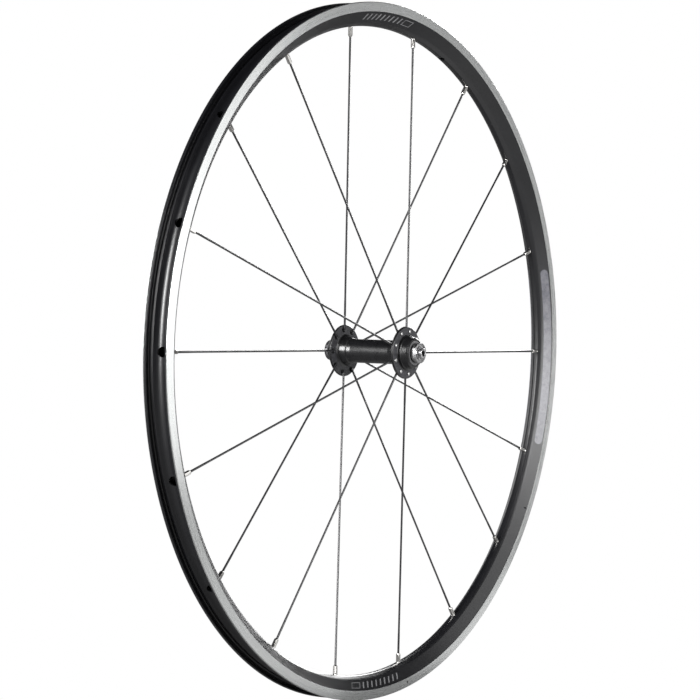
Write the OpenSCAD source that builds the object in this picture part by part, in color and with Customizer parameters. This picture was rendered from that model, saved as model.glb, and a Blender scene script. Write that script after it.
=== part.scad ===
// Front road bicycle wheel for rim brakes: hollow clincher rim, radial J-bend spokes and a hub on
// sealed ball bearings. The axle runs along Y, the wheel's centre is the origin, +Z is up, and
// "left" is the -Y side.

/* [Rim] */
// Diameter of the tyre's bead seat
bead_seat_d = 622; // [500:1:700]
// Height of the rim's outer edge above the bead seat
rim_flange_h = 6; // [5:0.1:7]
// Overall width across the brake tracks
rim_w = 25.2; // [22:0.1:32]
// Thickness of the rim's edge at the hook that holds the tyre
hook_t = 2.9; // [2.4:0.1:3.6]
// Depth from the outer edge to the inner edge
rim_depth = 21.2; // [18:0.1:40]
// Height of the machined brake track
brake_track_h = 8.6; // [7:0.1:10]
// Step from the brake track down to the sidewall
track_step = 0.35; // [0.1:0.05:0.5]
// Wall behind the brake track
track_wall = 1.6; // [1.2:0.1:2]
// Wall of the tapered side
side_wall = 1.1; // [0.9:0.1:1.5]
// Wall between the tyre's well and the hollow chamber
bridge_wall = 1.2; // [1:0.1:2]
// Wall that the nipples pull on
bed_wall = 2; // [1.5:0.1:3]
// Depth of the central well below the bead seat
well_depth = 3.6; // [2.5:0.1:4]
// Width of the flat inner edge of the rim
rim_nose_w = 5.2; // [4:0.1:8]
// Diameter of the valve hole
valve_hole_d = 6.5; // [6:0.1:8.5]
// Clearance of the holes that let a nipple in from the tyre side
access_play = 1.2; // [0.4:0.1:1.6]
// Diameter of the drain hole in the left sidewall
drain_hole_d = 1.8; // [1:0.1:3]
// Diameter and depth of the wear mark in the left brake track
wear_mark_d = 2; // [1:0.1:3]
wear_mark_depth = 0.9; // [0.3:0.1:1]

/* [Spokes] */
// Number of spokes, shared between the two flanges
spoke_count = 18; // [12:2:36]
// Angle of the first left spoke, from +X towards +Z
first_spoke_angle = -2.4; // [-20:0.1:20]
// Diameter at the two thick ends
spoke_end_d = 2; // [1.8:0.1:2.3]
// Diameter of the thin middle
spoke_mid_d = 1.8; // [1.5:0.1:2]
// Length of the thick end above the elbow
spoke_root_l = 22; // [10:1:40]
// Length of the thick end below the nipple
spoke_tip_l = 27; // [15:1:40]
// Length of the taper between thick and thin
spoke_taper_l = 9; // [4:1:20]
// Bend radius of the elbow, on the centre line
elbow_r = 2; // [1.8:0.1:3]
// Diameter and thickness of the spoke's head
spoke_head_d = 3.7; // [3:0.1:4.5]
spoke_head_t = 1.1; // [0.8:0.1:1.5]

/* [Nipples] */
// Diameter of the round shank in the rim
nipple_d = 3.95; // [3.5:0.05:4.2]
// Distance across the square flats
nipple_square = 3.25; // [3:0.05:3.5]
// Length of the square part that stands out of the rim
nipple_square_l = 9; // [6:0.5:12]
// Diameter and height of the head inside the rim
nipple_head_d = 6.2; // [5.5:0.1:6.6]
nipple_head_h = 1.8; // [1.5:0.1:2.5]

/* [Hub] */
// Distance between the outer faces of the locknuts
over_locknut = 100; // [90:1:110]
// Distance from a locknut's face in to the flange's outer face
flange_inset = 14.8; // [13:0.1:20]
// Thickness of a flange
flange_t = 2.4; // [2.2:0.1:4]
// Distance from the circle of spoke holes out to the flange's edge
flange_margin = 4.3; // [3.5:0.1:6]
// Distance from the barrel out to the circle of spoke holes
spoke_hole_margin = 3.7; // [3.3:0.1:12]
// Radial clearance of a spoke in its hole
spoke_hole_play = 0.25; // [0.15:0.05:0.4]
// Wall of the centre tube
tube_wall = 2.1; // [1.5:0.1:4]
// Step from the tube up to the collar inside each flange
collar_step = 2.5; // [1.5:0.1:4]
// Length of the collar
collar_l = 8; // [5:0.5:10]
// Wall of the barrel outside each flange, round the bearing
barrel_wall = 4.8; // [3.5:0.1:6]
// Length of the straight part of the barrel
barrel_l = 3; // [1:0.1:4]
// Wall at the barrel's mouth
mouth_wall = 1.6; // [1.2:0.1:2.5]

/* [Bearings] */
// Bore of a bearing, where the axle fits
bearing_bore = 10; // [10:1:12]
// Outer diameter of a bearing
bearing_od = 22; // [20:1:28]
// Width of a bearing
bearing_w = 6; // [6:0.5:7]
// Diameter of a ball
ball_d = 3.175; // [2.5:0.025:4]
// Number of balls in a bearing
ball_count = 11; // [7:1:12]
// Distance from a locknut's face in to the bearing
bearing_inset = 6.5; // [6:0.1:8]
// Height of the shoulder that the bearing is pressed against
bearing_shoulder = 2.2; // [1.5:0.1:3]

/* [Axle] */
// Bore for a quick release skewer
skewer_bore_d = 5.2; // [5:0.1:5.6]
// Length of the axle that stands out of each locknut, into the fork
axle_stub_l = 3.2; // [2:0.1:5]
// Step from the bearing's seat down to the threads for the cones and the locknuts
thread_step = 0.1; // [0.1:0.05:0.2]
// Step from the bearing's seat down to the bare end that goes into the fork
axle_end_step = 0.5; // [0.3:0.1:0.8]
// Height of the axle's shoulder behind each inner race
axle_shoulder = 1.5; // [1:0.1:2]
// Diameter of a locknut
locknut_d = 18.4; // [17:0.1:20]
// Thickness of a locknut
locknut_t = 3.6; // [3:0.1:4]
// Thickness of the round lip at a locknut's outer face
locknut_lip_t = 0.9; // [0.6:0.1:1.5]
// Distance across a locknut's wrench flats
locknut_flats = 15.8; // [15:0.1:17]
// Diameter of a cone's shoulder
cone_d = 16.4; // [15:0.1:17.5]
// Distance across a cone's wrench flats
cone_flats = 14; // [13:0.5:15]
// Number of teeth round a locknut's inner ring
tooth_count = 24; // [12:1:30]
// Depth of the teeth
tooth_depth = 0.4; // [0.2:0.05:0.5]

/* [Fits] */
// Radial clearance of a fixed fit
fixed_gap = 0.01; // [0.005:0.005:0.03]
// Radial clearance of a thread
thread_gap = 0.02; // [0.01:0.01:0.05]
// Clearance between a ball and what it rolls in
ball_gap = 0.04; // [0.02:0.01:0.08]
// Radial clearance of a rubbing seal
seal_gap = 0.08; // [0.04:0.01:0.1]
// Clearance between parts that pass without touching
free_gap = 0.35; // [0.3:0.05:0.5]

/* [Hidden] */
$fn = 96;
eps = 0.01;
bead_seat_r = bead_seat_d / 2;
rim_r_out = bead_seat_r + rim_flange_h;
rim_r_in = rim_r_out - rim_depth;
track_r_in = rim_r_out - brake_track_h;
well_r = bead_seat_r - well_depth;
bed_r = rim_r_in + bed_wall;
valve_angle = first_spoke_angle + (round(spoke_count / 5) - 0.5) * 360 / spoke_count;
drain_angle = first_spoke_angle - 1.55 * 360 / spoke_count;
wear_angle = first_spoke_angle - 4.05 * 360 / spoke_count;

rim_inner_w = rim_w - 2 * hook_t;
access_hole_d = nipple_head_d + 2 * access_play;

barrel_r = bearing_od / 2 + barrel_wall;
mouth_r = bearing_od / 2 + mouth_wall;
shell_bore_r = bearing_od / 2 - bearing_shoulder;
tube_r = shell_bore_r + tube_wall;
collar_r = tube_r + collar_step;
pitch_r = barrel_r + spoke_hole_margin;
flange_r = pitch_r + flange_margin;
spoke_hole_r = spoke_end_d / 2 + spoke_hole_play;
flange_out_y = over_locknut / 2 - flange_inset;
flange_in_y = flange_out_y - flange_t;
axle_l = over_locknut + 2 * axle_stub_l;
axle_end_d = bearing_bore - 2 * axle_end_step;
thread_r = bearing_bore / 2 - thread_step;
axle_mid_d = bearing_bore + 2 * axle_shoulder;
bearing_out_y = over_locknut / 2 - bearing_inset;
bearing_in_y = bearing_out_y - bearing_w;
mouth_y = bearing_out_y + 0.7;
barrel_y = flange_out_y + barrel_l;
seal_t = 0.5;
ball_pitch_r = (bearing_bore + bearing_od) / 4;
inner_race_r = ball_pitch_r - ball_d * 0.41;
outer_race_r = ball_pitch_r + ball_d * 0.41;

// The elbow's centre line: it bends about elbow_centre, just clears the flange's inner face and
// leaves along a line to the rim.
elbow_centre = [pitch_r + elbow_r, flange_in_y + elbow_r - spoke_end_d / 2 - 0.2];
elbow_reach = [bed_r - elbow_centre[0], elbow_centre[1]];
spoke_slope = atan2(elbow_reach[1], elbow_reach[0]) - asin(elbow_r / norm(elbow_reach));
spoke_l = sqrt(pow(norm(elbow_reach), 2) - pow(elbow_r, 2));

function spoke_name(k) = str("spoke_", k < 9 ? "0" : "", k + 1);
function spoke_angle(k) = first_spoke_angle + k * 360 / spoke_count;
// Even spokes go to the left flange.
function is_left(k) = k % 2 == 0;
// The second half of a symmetrical outline, with the width negated and the order turned round.
function mirrored(points) = [for (i = [len(points) - 1:-1:0]) [points[i][0], -points[i][1]]];
function whole(points) = concat(points, mirrored(points));

// Turns an outline of [radius, y] about the axle.
module about_axle() {
    rotate([-90, 0, 0])
        rotate_extrude($fn = 180)
            children();
}

// A solid or a ring along Y, from y0 to y1.
module disc(r, y0, y1, r_end = undef) {
    translate([0, y0, 0])
        rotate([-90, 0, 0])
            cylinder(h = y1 - y0, r1 = r, r2 = is_undef(r_end) ? r : r_end);
}

module ring(r_out, r_in, y0, y1) {
    difference() {
        disc(r_out, y0, y1);
        disc(r_in, y0 - 1, y1 + 1);
    }
}

// Right-hand parts are drawn on +Y, and left-hand ones are their mirror image.
module on_side(left) {
    mirror([0, left ? 1 : 0, 0])
        children();
}

// Puts +X along the radius at this angle.
module at_angle(angle) {
    rotate([0, -angle, 0])
        children();
}

// ---- Rim ----

module rim_outline() {
    hw = rim_w / 2;
    hook_hw = rim_inner_w / 2;
    recess_hw = hw - track_wall;
    polygon(whole([
        [well_r, rim_inner_w * 0.19],
        [bead_seat_r - 0.4, rim_inner_w * 0.32],
        [bead_seat_r + 0.5, rim_inner_w * 0.36],
        [bead_seat_r, rim_inner_w * 0.4],
        [bead_seat_r, hook_hw + 0.5],
        [bead_seat_r + 1, recess_hw],
        [rim_r_out - 2.6, recess_hw],
        [rim_r_out - 1.8, hook_hw + 0.2],
        [rim_r_out - 0.6, hook_hw],
        [rim_r_out, hook_hw + 0.7],
        [rim_r_out, hw - 0.5],
        [rim_r_out - 0.5, hw],
        [track_r_in, hw],
        [track_r_in - track_step, hw - track_step],
        [rim_r_in + 3.2, rim_nose_w / 2 + 3.2],
        [rim_r_in + 2.2, rim_nose_w / 2 + 2.2],
        [rim_r_in + 0.4, rim_nose_w / 2],
        [rim_r_in, rim_nose_w / 2 - 1.2]
    ]));
}

module rim_chamber_outline() {
    polygon(whole([
        [well_r - bridge_wall, rim_inner_w * 0.19 + 0.3],
        [bead_seat_r - 0.4 - bridge_wall, rim_inner_w * 0.32 + 1],
        [bead_seat_r - 1.6, rim_w / 2 - track_wall - 1.6],
        [track_r_in + 0.2, rim_w / 2 - track_wall],
        [track_r_in - 1, rim_w / 2 - track_wall - 0.3],
        [rim_r_in + 3.6, rim_nose_w / 2 + 3.2 - side_wall * 1.2],
        [bed_r, rim_nose_w / 2]
    ]));
}

module rim() {
    color("dimgray")
    difference() {
        about_axle()
            difference() {
                rim_outline();
                rim_chamber_outline();
            }
        for (k = [0:spoke_count - 1])
            spoke_holes_in_rim(k);
        at_angle(valve_angle)
            translate([rim_r_in - 1, 0, 0])
                rotate([0, 90, 0])
                    cylinder(h = rim_depth + 2, d = valve_hole_d);
        // The drain hole goes through the left sidewall only, close to the brake track.
        at_angle(drain_angle)
            translate([track_r_in - 1.7, -rim_w / 2 - 1, 0])
                rotate([-90, 0, 0])
                    cylinder(h = rim_w / 2 - 2, d = drain_hole_d);
        at_angle(wear_angle)
            translate([track_r_in + brake_track_h * 0.42, -rim_w / 2 - 1, 0])
                rotate([-90, 0, 0])
                    cylinder(h = 1 + wear_mark_depth, d = wear_mark_d);
    }
}

// One hole along the spoke through the nipple's wall, and a wide one through the tyre's well.
module spoke_holes_in_rim(k) {
    at_angle(spoke_angle(k)) {
        on_side(is_left(k))
            along_spoke()
                translate([-bed_wall - 3, 0, 0])
                    rotate([0, 90, 0])
                        cylinder(h = bed_wall + 5, d = nipple_d + 0.4);
        translate([well_r - bridge_wall - 1.2, 0, 0])
            rotate([0, 90, 0])
                cylinder(h = bridge_wall + 8, d = access_hole_d);
    }
}

// ---- Spokes and nipples ----

// Puts +X along the spoke's straight part, with the origin where it crosses the rim's bed.
module along_spoke() {
    translate([bed_r, 0, 0])
        rotate([0, 0, -spoke_slope])
            children();
}

module along_x(d, x0, x1, d_end = undef) {
    translate([x0, 0, 0])
        rotate([0, 90, 0])
            cylinder(h = x1 - x0, d1 = d, d2 = is_undef(d_end) ? d : d_end);
}

module spoke_straight() {
    root_x = spoke_root_l - spoke_l;
    tip_x = -spoke_tip_l;
    along_x(spoke_end_d, -spoke_l, root_x);
    along_x(spoke_end_d, root_x, root_x + spoke_taper_l, spoke_mid_d);
    along_x(spoke_mid_d, root_x + spoke_taper_l, tip_x - spoke_taper_l);
    along_x(spoke_mid_d, tip_x - spoke_taper_l, tip_x, spoke_end_d);
    along_x(spoke_end_d, tip_x, nipple_head_h);
}

// The bend starts inside the flange and turns until it points along the spoke. A slight swell
// at each end joins it to the straight parts.
module spoke_elbow() {
    translate([elbow_centre[0], elbow_centre[1], 0])
        rotate([0, 0, 180]) {
            rotate_extrude(angle = 90 - spoke_slope)
                translate([elbow_r, 0])
                    circle(d = spoke_end_d, $fn = 48);
            for (angle = [0, 90 - spoke_slope])
                rotate([0, 0, angle])
                    translate([elbow_r, 0, 0])
                        sphere(d = spoke_end_d + 0.06, $fn = 48);
        }
}

module spoke_head() {
    translate([pitch_r, 0, 0]) {
        disc(spoke_end_d / 2, elbow_centre[1], flange_out_y + eps);
        disc(spoke_head_d / 2, flange_out_y, flange_out_y + spoke_head_t * 0.55);
        disc(spoke_head_d / 2, flange_out_y + spoke_head_t * 0.55, flange_out_y + spoke_head_t,
            spoke_head_d * 0.3);
    }
}

module spoke(k) {
    color("#202022")
    at_angle(spoke_angle(k))
        on_side(is_left(k)) {
            along_spoke()
                spoke_straight();
            spoke_elbow();
            spoke_head();
        }
}

// The square part hangs out of the rim, the head sits in its chamber, and the thread runs through.
module nipple() {
    head_x = 0.45;
    cone_h = (nipple_head_d - nipple_d) / 2;
    // The corners of the square stop just short of the rim.
    square_end_x = -bed_wall - 0.4;
    square_x = -bed_wall - nipple_square_l;
    difference() {
        union() {
            translate([square_x, -nipple_square / 2, -nipple_square / 2])
                cube([square_end_x - square_x, nipple_square, nipple_square]);
            along_x(nipple_d, square_end_x - 0.2, head_x);
            along_x(nipple_d, head_x, head_x + cone_h, nipple_head_d);
            along_x(nipple_head_d, head_x + cone_h, head_x + cone_h + nipple_head_h);
        }
        along_x(spoke_end_d + 2 * thread_gap, square_x - 1, nipple_head_h + 8);
        translate([head_x + cone_h + nipple_head_h - 0.8, -nipple_head_d, -0.6])
            cube([2, 2 * nipple_head_d, 1.2]);
    }
}

module nipples(left) {
    color("silver")
    for (k = [left ? 0 : 1:2:spoke_count - 1])
        at_angle(spoke_angle(k))
            on_side(left)
                along_spoke()
                    nipple();
}

// ---- Hub shell ----

module hub_shell_outline() {
    groove = 0.4;
    collar_y = flange_in_y - collar_l;
    mouth_l = mouth_y - barrel_y;
    polygon(whole([
        [tube_r, collar_y - 4],
        [tube_r + 0.6, collar_y - groove],
        [tube_r + 0.2, collar_y],
        [tube_r + 1.1, collar_y + groove],
        [collar_r, flange_in_y - 1.9],
        [collar_r - 0.3, flange_in_y - 1.5],
        [collar_r + 0.2, flange_in_y - 1.1],
        [collar_r + 0.9, flange_in_y - 0.4],
        [collar_r + 1.6, flange_in_y],
        [flange_r - 0.6, flange_in_y],
        [flange_r, flange_in_y + 0.6],
        [flange_r, flange_out_y - 0.8],
        [flange_r - 0.8, flange_out_y],
        [barrel_r + 0.5, flange_out_y],
        [barrel_r, flange_out_y + 0.5],
        [barrel_r, barrel_y - 0.3],
        [barrel_r - 0.5, barrel_y],
        [mouth_r + (barrel_r - mouth_r) * 0.62, barrel_y + mouth_l * 0.35],
        [mouth_r + (barrel_r - mouth_r) * 0.34, barrel_y + mouth_l * 0.8],
        [mouth_r, mouth_y],
        [bearing_od / 2 + fixed_gap, mouth_y],
        [bearing_od / 2 + fixed_gap, bearing_in_y],
        [shell_bore_r, bearing_in_y]
    ]));
}

module hub_shell() {
    color("#26262a")
    difference() {
        about_axle()
            hub_shell_outline();
        for (k = [0:spoke_count - 1])
            at_angle(spoke_angle(k))
                on_side(is_left(k))
                    translate([pitch_r, 0, 0]) {
                        disc(spoke_hole_r, flange_in_y - 1, flange_out_y + 1);
                        // Countersunk on the inside, where the elbow bends away.
                        disc(spoke_hole_r + 1.6, flange_in_y - 0.3, flange_in_y + 1.3,
                            spoke_hole_r);
                    }
    }
}

// ---- Bearings: the outer races turn with the shell, the inner races stay on the axle ----

module groove() {
    translate([ball_pitch_r, (bearing_in_y + bearing_out_y) / 2])
        circle(d = ball_d + 2 * ball_gap, $fn = 48);
}

module outer_race(left) {
    color("lightsteelblue")
    on_side(left)
        about_axle()
            difference() {
                translate([outer_race_r, bearing_in_y])
                    square([bearing_od / 2 - outer_race_r, bearing_w]);
                groove();
            }
}

module inner_race(left) {
    color("lightsteelblue")
    on_side(left)
        about_axle()
            difference() {
                translate([bearing_bore / 2, bearing_in_y])
                    square([inner_race_r - bearing_bore / 2, bearing_w]);
                groove();
            }
}

module bearing_seal(left, outboard) {
    y0 = outboard ? bearing_out_y - 0.1 - seal_t : bearing_in_y + 0.1;
    color("#303030")
    on_side(left)
        ring(outer_race_r - fixed_gap, inner_race_r + seal_gap, y0, y0 + seal_t);
}

// Covers the mouth of the shell, outside the bearing, and clears the cone.
module dust_seal(left) {
    color("#1c1c1e")
    on_side(left)
        ring(bearing_od / 2, cone_d / 2 + free_gap, bearing_out_y + 0.05, mouth_y - 0.1);
}

module place_balls() {
    for (i = [0:ball_count - 1])
        at_angle(i * 360 / ball_count)
            translate([ball_pitch_r, (bearing_in_y + bearing_out_y) / 2, 0])
                children();
}

module balls(left) {
    color("silver")
    on_side(left)
        place_balls()
            sphere(d = ball_d);
}

module ball_cage(left) {
    inset = 0.1 + seal_t + free_gap;
    wall_r = ball_d * 0.2;
    color("#b07a30")
    on_side(left)
        difference() {
            ring(ball_pitch_r + wall_r, ball_pitch_r - wall_r, bearing_in_y + inset,
                bearing_out_y - inset);
            place_balls()
                rotate([0, 90, 0])
                    cylinder(h = 4 * wall_r, d = ball_d + 2 * ball_gap, center = true);
        }
}

// ---- Axle, cones and locknuts ----

module axle() {
    chamfer = 0.4;
    half = axle_l / 2;
    seat_r = bearing_bore / 2 - fixed_gap;
    // The threads stop just inside the locknuts' outer faces, and a narrow relief follows them.
    thread_end_y = over_locknut / 2 - 0.2;
    relief_l = 0.3;
    relief_r = axle_end_d / 2 - 0.2;
    color("gainsboro")
    difference() {
        union() {
            disc(axle_mid_d / 2, -bearing_in_y, bearing_in_y);
            disc(seat_r, -bearing_out_y, bearing_out_y);
            disc(thread_r, -thread_end_y, thread_end_y);
            disc(axle_end_d / 2, -half + chamfer, half - chamfer);
            disc(axle_end_d / 2 - chamfer, -half, half);
            disc(axle_end_d / 2, half - chamfer, half, axle_end_d / 2 - chamfer);
            mirror([0, 1, 0])
                disc(axle_end_d / 2, half - chamfer, half, axle_end_d / 2 - chamfer);
        }
        disc(skewer_bore_d / 2, -half - 1, half + 1);
        for (left = [true, false])
            on_side(left)
                ring(axle_end_d / 2 + 1, relief_r, thread_end_y, thread_end_y + relief_l);
    }
}

// Two flats across a round nut, facing forwards and backwards, from y0 to y1.
module wrench_flats(across, y0, y1) {
    for (side = [-1, 1])
        translate([side * across, (y0 + y1) / 2, 0])
            cube([across, y1 - y0, 2 * across], center = true);
}

// A short land holds the inner race, and a wide shoulder with two flats takes a cone wrench.
module cone(left) {
    shoulder_y = mouth_y + free_gap;
    cone_end_y = over_locknut / 2 - locknut_t;
    color("silver")
    on_side(left)
        difference() {
            union() {
                disc(inner_race_r - 0.1, bearing_out_y, shoulder_y + eps);
                disc(cone_d / 2, shoulder_y, cone_end_y);
            }
            disc(thread_r + thread_gap, bearing_out_y - 1, cone_end_y + 1);
            wrench_flats(cone_flats, shoulder_y + 0.6, cone_end_y + 1);
        }
}

// The outer face has a plain lip, a deep groove, and a ring of teeth that bite the fork.
module locknut(left) {
    y0 = over_locknut / 2 - locknut_t;
    y1 = over_locknut / 2;
    r = locknut_d / 2;
    teeth_r = thread_r + 1.4;
    color("silver")
    on_side(left)
        difference() {
            union() {
                disc(r, y0, y1 - 0.2);
                disc(r, y1 - 0.2, y1, r - 0.2);
            }
            wrench_flats(locknut_flats, y0 - 1, y1 - locknut_lip_t);
            disc(thread_r + thread_gap, y0 - 1, y1 + 1);
            ring(r - 0.9, teeth_r, y1 - 1.2, y1 + 1);
            for (i = [0:tooth_count - 1])
                at_angle(i * 360 / tooth_count)
                    translate([teeth_r, y1, 0])
                        rotate([45, 0, 0])
                            cube([2.4, tooth_depth * sqrt(2), tooth_depth * sqrt(2)], center = true);
        }
}

rim();
for (k = [0:spoke_count - 1])
    spoke(k);
nipples(true);  // left_nipples
nipples(false);  // right_nipples
hub_shell();
outer_race(true);  // left_outer_race
outer_race(false);  // right_outer_race
bearing_seal(true, false);  // left_inboard_seal
bearing_seal(true, true);  // left_outboard_seal
bearing_seal(false, false);  // right_inboard_seal
bearing_seal(false, true);  // right_outboard_seal
dust_seal(true);  // left_dust_seal
dust_seal(false);  // right_dust_seal
ball_cage(true);  // left_ball_cage
ball_cage(false);  // right_ball_cage
balls(true);  // left_balls
balls(false);  // right_balls
axle();
inner_race(true);  // left_inner_race
inner_race(false);  // right_inner_race
cone(true);  // left_cone
cone(false);  // right_cone
locknut(true);  // left_locknut
locknut(false);  // right_locknut
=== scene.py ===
import math
import bpy
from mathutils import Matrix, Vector


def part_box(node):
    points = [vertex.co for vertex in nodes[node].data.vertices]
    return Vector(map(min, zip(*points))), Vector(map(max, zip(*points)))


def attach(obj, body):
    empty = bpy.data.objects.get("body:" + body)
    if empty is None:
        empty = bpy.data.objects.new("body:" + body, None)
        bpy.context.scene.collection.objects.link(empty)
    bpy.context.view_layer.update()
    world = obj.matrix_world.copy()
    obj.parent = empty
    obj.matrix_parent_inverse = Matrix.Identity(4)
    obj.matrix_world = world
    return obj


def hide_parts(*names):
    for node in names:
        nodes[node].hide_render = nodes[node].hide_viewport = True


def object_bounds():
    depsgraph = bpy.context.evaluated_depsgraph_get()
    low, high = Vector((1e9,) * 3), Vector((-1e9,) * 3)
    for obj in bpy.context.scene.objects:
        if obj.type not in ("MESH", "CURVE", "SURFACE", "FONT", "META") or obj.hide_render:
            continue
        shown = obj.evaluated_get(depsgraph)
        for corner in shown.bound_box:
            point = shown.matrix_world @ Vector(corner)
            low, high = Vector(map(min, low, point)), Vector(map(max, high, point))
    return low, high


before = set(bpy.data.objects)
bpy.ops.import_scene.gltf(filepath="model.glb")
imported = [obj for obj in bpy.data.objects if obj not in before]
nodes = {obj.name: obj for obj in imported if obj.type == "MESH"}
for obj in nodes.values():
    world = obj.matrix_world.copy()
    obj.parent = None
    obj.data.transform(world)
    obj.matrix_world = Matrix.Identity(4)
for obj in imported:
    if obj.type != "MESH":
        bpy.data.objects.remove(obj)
cadLow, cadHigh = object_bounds()
mm = 0.001

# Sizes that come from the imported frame, in millimetres
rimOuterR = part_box("rim")[1].z / mm
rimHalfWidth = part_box("rim")[1].y / mm
spokeNodes = sorted(n for n in nodes if n.startswith("spoke_"))
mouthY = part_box("hub_shell")[1].y / mm
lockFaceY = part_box("right_locknut")[1].y / mm
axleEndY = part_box("axle")[1].y / mm
print("frame loaded:", len(nodes), "nodes, rim", round(rimOuterR, 2), "mm")

lacing = {
    "count": len(spokeNodes),
    "firstAngle": -2.4,      # degrees, from +X towards +Z
    "pitchR": 19.5,          # circle of the spoke holes
    "flangeOutY": 35.2,
    "flangeInY": 32.8,
    "bedR": 297.8,           # inside face of the rim's inner wall
    "elbowR": 2.0,
    "elbowDrop": 1.2,        # how deep in the flange the bend starts
}
spokeStep = 360 / lacing["count"]
hands = ((-1, "left"), (1, "right"))


# shared makers

def linked(name, mesh):
    piece = bpy.data.objects.new(name, mesh)
    bpy.context.scene.collection.objects.link(piece)
    return piece


def roundCorners(corners, steps=3, support=0.18):
    # corners are (radius, y, fillet) in mm round a closed outline
    straight, edgeShare, smallFillet = math.radians(176), 0.46, 0.3
    points = []
    for i, (r, y, fillet) in enumerate(corners):
        here = Vector((r, y))
        before = Vector(corners[i - 1][:2]) - here
        after = Vector(corners[(i + 1) % len(corners)][:2]) - here
        turn = before.angle(after)
        if fillet <= 0 or turn > straight:
            points.append(here)
            continue
        longest = min(before.length, after.length) * edgeShare
        reach = min(fillet / math.tan(turn / 2), longest)
        fillet = reach * math.tan(turn / 2)
        inward = (before.normalized() + after.normalized()).normalized()
        middle = here + inward * fillet / math.sin(turn / 2)
        start = here + before.normalized() * reach - middle
        end = here + after.normalized() * reach - middle
        sweep = start.angle_signed(end)
        cuts = steps if fillet > smallFillet else min(steps, 2)
        for k in range(cuts + 1):
            a = -sweep * k / cuts
            points.append(middle + Vector((start.x * math.cos(a) - start.y * math.sin(a),
                                           start.x * math.sin(a) + start.y * math.cos(a))))
    held = []                 # points close to each fillet keep the flats flat
    for i, p in enumerate(points):
        q = points[(i + 1) % len(points)]
        held.append(p)
        if (q - p).length > support * 6:
            held += [p.lerp(q, support / (q - p).length), q.lerp(p, support / (q - p).length)]
    return held


def mirroredHalf(half):
    return half + [(r, -y, f) for r, y, f in reversed(half)]


def area(points):
    return sum(p.x * q.y - q.x * p.y for p, q in zip(points, points[1:] + points[:1])) / 2


def revolve(name, outlines, turns, slotOf=None):
    # the first outline is the outside, any others are hollows; UVs run round and across, in metres
    verts, faces, uvs, slots = [], [], [], []
    for n, outline in enumerate(outlines):
        if (area(outline) > 0) != (n == 0):
            outline = outline[::-1]
        base = len(verts)
        size = len(outline)
        meanR = sum(p.x for p in outline) / size * mm
        across = [0.0]
        for i in range(size):
            across.append(across[-1] + (outline[(i + 1) % size] - outline[i]).length * mm)
        for j in range(turns):
            a = 2 * math.pi * j / turns
            verts += [(p.x * mm * math.cos(a), p.y * mm, p.x * mm * math.sin(a)) for p in outline]
        for j in range(turns):
            here, there = base + j * size, base + (j + 1) % turns * size
            round0, round1 = 2 * math.pi * meanR * j / turns, 2 * math.pi * meanR * (j + 1) / turns
            for i in range(size):
                k = (i + 1) % size
                faces.append((here + i, here + k, there + k, there + i))
                uvs += [(round0, across[i]), (round0, across[i + 1]),
                        (round1, across[i + 1]), (round1, across[i])]
                middle = (outline[i] + outline[k]) / 2
                slots.append(slotOf(middle.x, middle.y) if slotOf and n == 0 else 0)
    mesh = bpy.data.meshes.new(name)
    mesh.from_pydata(verts, [], faces)
    layer = mesh.uv_layers.new(name="UVMap")
    layer.data.foreach_set("uv", [c for uv in uvs for c in uv])
    mesh.polygons.foreach_set("material_index", slots)
    return linked(name, mesh)


def loft(name, sections, sides, closed=False, flip=False):
    # sections are (x, halfSize, squareness) along +X, in mm; squareness 2 is round
    verts, faces = [], []
    for x, half, power in sections:
        for k in range(sides):
            a = 2 * math.pi * (k + 0.5) / sides
            c, s = math.cos(a), math.sin(a)
            r = half / (abs(c) ** power + abs(s) ** power) ** (1 / power)
            verts.append((x * mm, r * c * mm, r * s * mm))
    rings = len(sections)
    for i in range(rings if closed else rings - 1):
        for k in range(sides):
            a, b = i * sides + k, i * sides + (k + 1) % sides
            c, d = (i + 1) % rings * sides + (k + 1) % sides, (i + 1) % rings * sides + k
            faces.append((a, b, c, d) if not flip else (d, c, b, a))
    if not closed:
        first, last = tuple(range(sides)), tuple(range((rings - 1) * sides, rings * sides))
        faces += [first[::-1], last] if not flip else [first, last[::-1]]
    mesh = bpy.data.meshes.new(name)
    mesh.from_pydata(verts, [], faces)
    return linked(name, mesh)


def settle(piece, sharp=32):
    # the evaluated result becomes the piece's own plain mesh
    bpy.context.view_layer.update()
    found = piece.evaluated_get(bpy.context.evaluated_depsgraph_get())
    mesh = bpy.data.meshes.new_from_object(found)
    piece.modifiers.clear()
    piece.data = mesh
    mesh.polygons.foreach_set("use_smooth", [True] * len(mesh.polygons))
    mesh.set_sharp_from_angle(angle=math.radians(sharp))
    return piece


def cutAway(piece, cutters):
    for cutter in cutters:
        tool = piece.modifiers.new(cutter.name, "BOOLEAN")
        tool.operation = "DIFFERENCE"
        tool.solver = "EXACT"
        tool.object = cutter
    settle(piece)
    for cutter in cutters:
        bpy.data.objects.remove(cutter)
    return piece


def setInputs(piece, tree, values):
    # a modifier's inputs are set by identifier, before the piece is evaluated
    tool = piece.modifiers.new(tree.name, "NODES")
    tool.node_group = tree
    sockets = {s.name: s.identifier for s in tree.interface.items_tree if s.in_out == "INPUT"}
    for name, value in values.items():
        tool[sockets[name]] = value
    return piece


def newTree(name, inputs):
    tree = bpy.data.node_groups.new(name, "GeometryNodeTree")
    tree.interface.new_socket("Geometry", in_out="INPUT", socket_type="NodeSocketGeometry")
    for label, kind in inputs:
        tree.interface.new_socket(label, in_out="INPUT", socket_type="NodeSocket" + kind)
    tree.interface.new_socket("Geometry", in_out="OUTPUT", socket_type="NodeSocketGeometry")
    return tree, tree.nodes.new("NodeGroupInput"), tree.nodes.new("NodeGroupOutput")


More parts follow.
